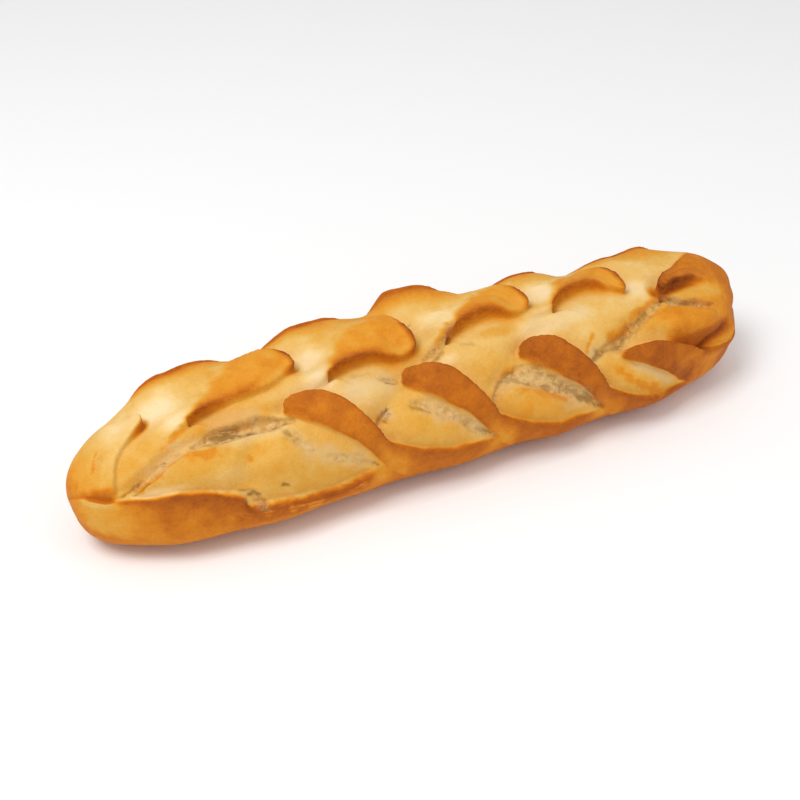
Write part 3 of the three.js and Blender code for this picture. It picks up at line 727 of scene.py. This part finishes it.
def bake_scale(b, i, row):
    """A scale of the top row, brown toward its tip, and the lines along its lip, with painted shade in the
    notch at its tip and a tan band of painted shade on the dough below its lip.
    """
    f = (b.x - row["corner"]) / (row["tip"] - row["corner"])
    front, back = profile(row["front"], f), profile(row["back"] + [row["front"][-1]], f)
    inward = front - b.s
    faded = f - row["faded"] * np.maximum(inward, 0) / 20 + 0.12 * b.fine + 0.1 * b.patchy
    soft = mix(0.8, 5.5, smooth(0.5, 0.8, f))
    inside = smooth(0.4 - soft, 0.4 + soft, inward - soft / 4)
    inside = inside * smooth(-3.5, 2.5, b.s - back) * smooth(1.03, 0.97, f)
    darker = 0.2 * smooth(6, 0, inward) * smooth(0.8, 0.6, f)
    b.lay(inside * smooth(-0.12, 0.16, faded), SCALE_CRUST + darker + 0.04 * b.fine)

    near, t, d, amount = b.lips[f"scale {i}"]
    before_tip = smooth(0.74, 0.6, t)
    high, low = row["notch"]
    tip = smooth(-8, -3, b.x[near] - row["tip"])
    tip = tip * smooth(high - 3, high, b.s[near]) * smooth(low + 3, low, b.s[near])
    b.lay(before_tip * amount * bump(0.3, 1.5, d) * 0.75, 0.88, near)
    # painted shade: the notch at the tip, darkened where the crust overhangs it
    b.lay(tip * amount * smooth(-2.6, -0.4, d) * smooth(3.6, 0.8, d), 0.92, near)
    # painted shade: a tan band on the dough below the lip, under its overhang
    b.lay(before_tip * amount * smooth(0.2, -0.6, d) * smooth(-6, -0.5, d) * 0.8, 0.58, near)


def bake_near_end(b):
    golden = 0.36 + 0.14 * smooth(-146, -158, b.x) + 0.08 * b.patchy
    b.lay(smooth(-138, -148, b.x) * smooth(46, 38, b.s) * smooth(-60, -30, b.s) * 0.9, golden)
    b.lay(smooth(-144, -149, b.x) * smooth(29, 36, b.s + 2 * b.fine) * smooth(45, 42, b.s) * 0.85, 0.71)
    near, t, d, _ = b.lips["near hem"]
    fine = b.fine[near]
    b.lay(smooth(1.2, 0, d) * smooth(-11, -4, d + 2 * fine) * ends(0.1, 0.05)(t) * 0.9, 0.72, near)
    b.lay(smooth(0, 1.2, d) * smooth(6.5, 3, d + 1.5 * fine) * ends(0.25, 0.1)(t) * 0.8, 0.3, near)
    b.lay(smooth(-156, -161, b.x + 2 * b.fine) * 0.7, 0.66)
    near, t, d, amount = b.lips["near cap"]
    # painted shade: the dark pocket beside the cap's peak, and a brown line on the dough below its lip
    b.lay(bump(0.24, 0.13, t) * smooth(1.2, 0.2, d) * smooth(-3.5, -0.5, d), 0.84, near)
    b.lay(smooth(0.6, -0.2, d) * smooth(-2, -0.4, d) * amount * 0.35, 0.6, near)


def bake_far_end(b):
    start = profile([(s, x) for x, s in FAR_CAP[:FAR_CAP_TURN]], b.s)
    hood = smooth(-1, 2, b.x - start + 1.5 * b.fine)
    soft = mix(0.7, 9, smooth(130, 144, b.x))
    b.lay(smooth(-soft, soft, profile(FAR_CAP[FAR_CAP_TURN:], b.x) - b.s) * hood, CAP_CRUST + 0.06 * b.fine)
    golden = 0.56 + 0.08 * smooth(34, 46, b.s)
    b.lay(smooth(104, 112, b.x) * smooth(23, 30, b.s) * smooth(62, 50, b.s), golden)
    b.lay(smooth(142, 156, b.x + 5 * b.fine), 0.68)
    near, t, d, amount = b.lips["far cap"]
    b.lay(amount * bump(0.4, 1.4, d), 0.92, near)
    # painted shade in the recess under the front edge of the cap's hood
    b.lay(amount * smooth(0.2, -0.6, d) * smooth(-6.5, -2.5, d) * smooth(0.46, 0.54, t), 0.8, near)
    above_seam = smooth(107, 112, b.x) * smooth(41, 44, b.s) * smooth(54, 50, b.s)
    b.lay(above_seam * smooth(148, 138, b.x) * 0.8, 0.79)
    # painted shade in the crease of the seam
    near, t, d, _, _ = b.nearest(FAR_SEAM, 9)
    b.lay(ends(0.2, 0.25)(t) * bump(0, 2.4, d), 0.88, near)


def bake_veins(b):
    for half, points in GOLDEN_VEINS:
        near, along, distance, _, _ = b.nearest(points, half * TEAR_REACH)
        away = np.abs(distance) / half + (0.5 * b.fine[near] + 1.1 * b.grit[near])
        b.lay(ends(0.2, 0.2)(along) * smooth(1.3, 0.3, away) * 0.85, VEIN, near)


def bake(skin):
    b = Baking(skin)
    bake_dough(b)
    bake_side(b)
    for i, row in enumerate(FRONT_ROW):
        bake_strip(b, i, row)
    bake_near_rim(b)
    for row in BACK_ROW:
        bake_lobe(b, row)
    for i, row in enumerate(TOP_ROW):
        bake_scale(b, i, row)
    bake_near_end(b)
    bake_far_end(b)
    bake_veins(b)
    return np.clip(b.level + 0.03 * b.fine + 0.02 * b.grit, 0, 1)


def chalk(skin, level):
    """How floury and grey the dough is. Crust that is baked brown has none of it."""
    floury = np.zeros(skin.x.shape)
    uneven = layered_noise(skin.place, *FLOUR)
    for half, share, points in CHALKY:
        near, along, distance, _, _ = skin.nearest(points, half * 2)
        here = smooth(1.5, 0.2, np.abs(distance) / half + 0.8 * uneven[near])
        floury[near] = np.maximum(floury[near], share * ends(0.2, 0.2)(along) * here)
    return floury * smooth(0.62, 0.48, level)


def paint_pit_shade(skin):
    """Dark ragged holes in the torn crumb, partly darker crumb and partly painted shade in the holes: how
    dark each point is.
    """
    dark = np.zeros(skin.x.shape)
    coarse, fine = layered_noise(skin.place, *HOLES_COARSE), layered_noise(skin.place, *HOLES_FINE)
    for half, share, points in PIT_SHADE_ROWS:
        near, along, distance, _, _ = skin.nearest(points, half * TEAR_REACH)
        away = np.abs(distance) / half + 1.1 * coarse[near] + 0.9 * fine[near]
        dark[near] = np.maximum(dark[near], share * ends(0.15, 0.15)(along) * smooth(1.1, 0.1, away))
    return dark


# ======================================================================================
# Mesh
# ======================================================================================

def unit(vectors):
    return vectors / np.linalg.norm(vectors, axis=-1, keepdims=True)


def loaf_points():
    """The skin's points, a row round the girth for each place along the loaf."""
    girth, turns = measure_girth()
    x, s = np.meshgrid(column_places(), row_places(girth), indexing="ij")
    place = body_point(x, np.interp(s, girth, turns))
    lengthwise = unit(np.gradient(place, axis=0))
    round_girth = unit(np.roll(place, -1, 1) - np.roll(place, 1, 1))
    outward = unit(np.cross(round_girth, lengthwise))
    skin = Skin(x.ravel(), s.ravel(), place.reshape(-1, 3))
    shape_relief(skin)
    height, pull_x, pull_s = (field.reshape(x.shape)[..., None]
                              for field in (skin.height, skin.pull_x, skin.pull_s))
    return place + outward * height + lengthwise * pull_x + round_girth * pull_s, skin


def loaf_faces(columns, rows):
    """Four-sided faces between the columns, and a fan round the pole at each end."""
    i, j = np.meshgrid(np.arange(columns - 1) * rows, np.arange(rows), indexing="ij")
    k = (j + 1) % rows
    quads = np.stack([i + j, i + k, i + rows + k, i + rows + j], -1).reshape(-1, 4)
    j, k = np.arange(rows), (np.arange(rows) + 1) % rows
    last, near_pole, far_pole = (columns - 1) * rows, columns * rows, columns * rows + 1
    fans = [*zip([near_pole] * rows, k, j), *zip([far_pole] * rows, last + j, last + k)]
    return quads.tolist() + [list(map(int, face)) for face in fans]


def make_loaf_mesh():
    """The loaf's mesh, and the middle of its box before it was fitted to the solid's."""
    place, skin = loaf_points()
    poles = body_point(np.array([-LENGTH / 2, LENGTH / 2]), np.zeros(2))
    points = np.concatenate([place.reshape(-1, 3), poles])
    points[:, 2] = np.maximum(points[:, 2], SEAT) - SEAT
    low, high = points.min(0), points.max(0)
    box_low, box_high = (np.array(corner) * MM for corner in CAD_BOX)
    share = (points - low) / (high - low)
    points = box_low + CLEARANCE + share * (box_high - box_low - 2 * CLEARANCE)

    mesh = bpy.data.meshes.new("loaf_crust")
    mesh.from_pydata((points / MM).tolist(), [], loaf_faces(*place.shape[:2]))
    mesh.polygons.foreach_set("use_smooth", np.ones(len(mesh.polygons), bool))
    level = bake(skin)
    fields = {"bake": (level, POLES_BAKED), "crumb": (skin.pitted, (0, 0)),
              "chalk": (chalk(skin, level), (0, 0)), "pit_shade": (paint_pit_shade(skin), (0, 0))}
    for name, (field, at_poles) in fields.items():
        values = np.concatenate([field, at_poles]).astype(np.float32)
        mesh.attributes.new(name, "FLOAT", "POINT").data.foreach_set("value", values)
    mesh.update()
    return mesh, (low + high) / 2


# ======================================================================================
# Material
# ======================================================================================

def colour(red, green, blue):
    """A screen colour, 0 to 255, as the linear colour that a shader takes."""
    def linear(v):
        v = v / 255
        return v / 12.92 if v <= 0.04045 else ((v + 0.055) / 1.055) ** 2.4
    return (linear(red), linear(green), linear(blue), 1.0)


BAKED_COLOURS = [                # the level of baking, and its colour
    (0.00, colour(246, 219, 172)),
    (0.15, colour(238, 203, 138)),
    (0.30, colour(229, 183, 101)),
    (0.42, colour(222, 164, 67)),
    (0.52, colour(222, 147, 40)),
    (0.62, colour(210, 126, 25)),
    (0.72, colour(191, 105, 19)),
    (0.82, colour(166, 85, 17)),
    (0.91, colour(134, 63, 16)),
    (1.00, colour(90, 42, 15)),
]
CHALK_COLOUR = colour(219, 187, 132)
CRUMB_COLOUR = colour(208, 170, 106)
FLECK_COLOUR = colour(234, 214, 180)
HOLE_SHADE_COLOUR = colour(122, 82, 28)
BLOTCH_SHARE, MOTTLE_SHARE, GRAIN_SHARE = 0.14, 0.13, 0.14   # how far each sways the baking
SWAY_MIDDLE = 0.205              # taken off again, so that they sway it both ways
CRUST_ROUGHNESS, CRUST_SHINE = 0.7, 0.15
BUMP_STRENGTH, BUMP_DEPTH = 0.6, 0.0009
HOLE_DEPTH = 1.6                 # against the bumps of the crust


class Nodes:
    """Small builder for a material's nodes."""

    def __init__(self, material):
        material.use_nodes = True
        self.tree = material.node_tree
        self.shader = self.tree.nodes["Principled BSDF"]

    def add(self, kind, **inputs):
        node = self.tree.nodes.new(kind)
        for name, value in inputs.items():
            self.set(node, name, value)
        return node

    def set(self, node, name, value):
        socket = node.inputs[name]
        if isinstance(value, bpy.types.NodeSocket):
            self.tree.links.new(value, socket)
        else:
            socket.default_value = value

    def attribute(self, name):
        node = self.tree.nodes.new("ShaderNodeAttribute")
        node.attribute_name = name
        return node.outputs["Fac"]

    def ramp(self, value, stops):
        node = self.add("ShaderNodeValToRGB", Fac=value)
        elements = node.color_ramp.elements
        elements[0].position, elements[0].color = stops[0]
        elements[-1].position, elements[-1].color = stops[-1]
        for position, tint in stops[1:-1]:
            elements.new(position).color = tint
        return node.outputs["Color"]

    def blend(self, share, first, second):
        node = self.tree.nodes.new("ShaderNodeMix")
        node.data_type = "RGBA"
        for i, value in ((0, share), (6, first), (7, second)):    # its sockets for colours
            self.set(node, i, value)
        return node.outputs[2]

    def maths(self, operation, a, b, c=None):
        node = self.tree.nodes.new("ShaderNodeMath")
        node.operation = operation
        for i, value in enumerate((a, b, c)):
            if value is not None:
                self.set(node, i, value)
        return node.outputs[0]


def crust_material():
    material = bpy.data.materials.new("baked_crust")
    n = Nodes(material)
    where = n.tree.nodes.new("ShaderNodeTexCoord").outputs["Object"]
    crumb = n.attribute("crumb")

    def noise(size, detail=4.0):
        texture = n.add("ShaderNodeTexNoise", Vector=where, Scale=size, Detail=detail, Roughness=0.6)
        return texture.outputs["Fac"]

    def patches(value, start, full):
        return n.ramp(value, [(start, (0, 0, 0, 1)), (full, (1, 1, 1, 1))])

    blotch, mottle, grain = noise(110.0, 6.0), noise(340.0), noise(950.0, 3.0)
    level = n.attribute("bake")
    for texture, share in ((blotch, BLOTCH_SHARE), (mottle, MOTTLE_SHARE), (grain, GRAIN_SHARE)):
        level = n.maths("MULTIPLY_ADD", texture, share, level)
    level = n.maths("SUBTRACT", level, SWAY_MIDDLE)
    tint = n.blend(n.attribute("chalk"), n.ramp(level, BAKED_COLOURS), CHALK_COLOUR)

    # the torn crumb: dull, with pale flecks, and dark pits that gather in places, partly darker crumb and
    # partly painted shade in the holes
    tint = n.blend(n.maths("MULTIPLY", crumb, 0.7), tint, CRUMB_COLOUR)
    flecks = n.maths("MULTIPLY", patches(noise(480.0), 0.52, 0.68), crumb)
    tint = n.blend(n.maths("MULTIPLY", flecks, 0.7), tint, FLECK_COLOUR)
    gathered = patches(noise(150.0, 2.0), 0.4, 0.56)
    holes = n.maths("MULTIPLY", n.maths("MULTIPLY", patches(noise(420.0), 0.46, 0.6), gathered), crumb)
    holes = n.maths("MAXIMUM", holes, n.attribute("pit_shade"))
    tint = n.blend(n.maths("MULTIPLY", holes, 0.8), tint, HOLE_SHADE_COLOUR)
    n.set(n.shader, "Base Color", tint)

    rough = n.maths("MULTIPLY_ADD", blotch, 0.8, n.maths("MULTIPLY", grain, 0.5))
    rough = n.maths("MULTIPLY_ADD", mottle, 0.5, rough)
    height = n.maths("MULTIPLY_ADD", holes, -HOLE_DEPTH, rough)
    bumps = n.add("ShaderNodeBump", Strength=BUMP_STRENGTH, Distance=BUMP_DEPTH, Height=height)
    n.set(n.shader, "Normal", bumps.outputs["Normal"])
    n.shader.inputs["Roughness"].default_value = CRUST_ROUGHNESS
    n.shader.inputs["Specular IOR Level"].default_value = CRUST_SHINE
    return material


# ======================================================================================
# Floor, light and camera
# ======================================================================================

def link(name, data):
    thing = bpy.data.objects.new(name, data)
    bpy.context.scene.collection.objects.link(thing)
    return thing


def make_floor():
    corners = [(x * FLOOR_HALF, y * FLOOR_HALF, 0) for x, y in ((-1, -1), (1, -1), (1, 1), (-1, 1))]
    mesh = bpy.data.meshes.new("floor")
    mesh.from_pydata(corners, [], [(0, 1, 2, 3)])
    material = bpy.data.materials.new("floor")
    material.use_nodes = True
    shader = material.node_tree.nodes["Principled BSDF"]
    shader.inputs["Base Color"].default_value = (FLOOR_TONE, FLOOR_TONE, FLOOR_TONE, 1)
    shader.inputs["Roughness"].default_value = 0.9
    mesh.materials.append(material)
    floor = link("floor", mesh)
    floor.location.z = -FLOOR_GAP


def make_light(name, place, power, size):
    """A soft square light that faces the loaf."""
    data = bpy.data.lights.new(name, "AREA")
    data.energy, data.size = power, size
    light = link(name, data)
    light.location = place
    light.rotation_euler = (-Vector(place)).to_track_quat("-Z", "Y").to_euler()


def make_lights():
    world = bpy.data.worlds.new("world")
    bpy.context.scene.world = world
    world.use_nodes = True
    background = world.node_tree.nodes["Background"]
    background.inputs["Color"].default_value = (1, 1, 1, 1)
    background.inputs["Strength"].default_value = SKY_STRENGTH
    make_light("key", **KEY_LIGHT)
    make_light("fill", **FILL_LIGHT)


def make_camera(middle):
    level_look = math.cos(LOOK_DOWN)
    look = Vector((math.sin(TURN) * level_look, math.cos(TURN) * level_look, -math.sin(LOOK_DOWN)))
    right = Vector((math.cos(TURN), -math.sin(TURN), 0))
    up = right.cross(look)
    aim = Vector((-middle[0], -middle[1], AIM_HEIGHT - SEAT))
    data = bpy.data.cameras.new("camera")
    data.sensor_width = SENSOR_WIDTH
    data.lens = FOCAL_PIXELS / FRAME_PIXELS * SENSOR_WIDTH
    data.shift_x = -OFF_CENTRE[0] / FRAME_PIXELS
    data.shift_y = OFF_CENTRE[1] / FRAME_PIXELS
    camera = link("camera", data)
    turn = Matrix((right, up, -look)).transposed().to_4x4()
    camera.matrix_world = Matrix.Translation((aim - look * DISTANCE) / MM) @ turn
    bpy.context.scene.camera = camera


mesh, middle = make_loaf_mesh()
mesh.materials.append(crust_material())
loaf = link("loaf_crust", mesh)
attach(loaf, "root")
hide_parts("loaf")
make_floor()
make_lights()
make_camera(middle)
bpy.context.scene.view_settings.view_transform = "Standard"
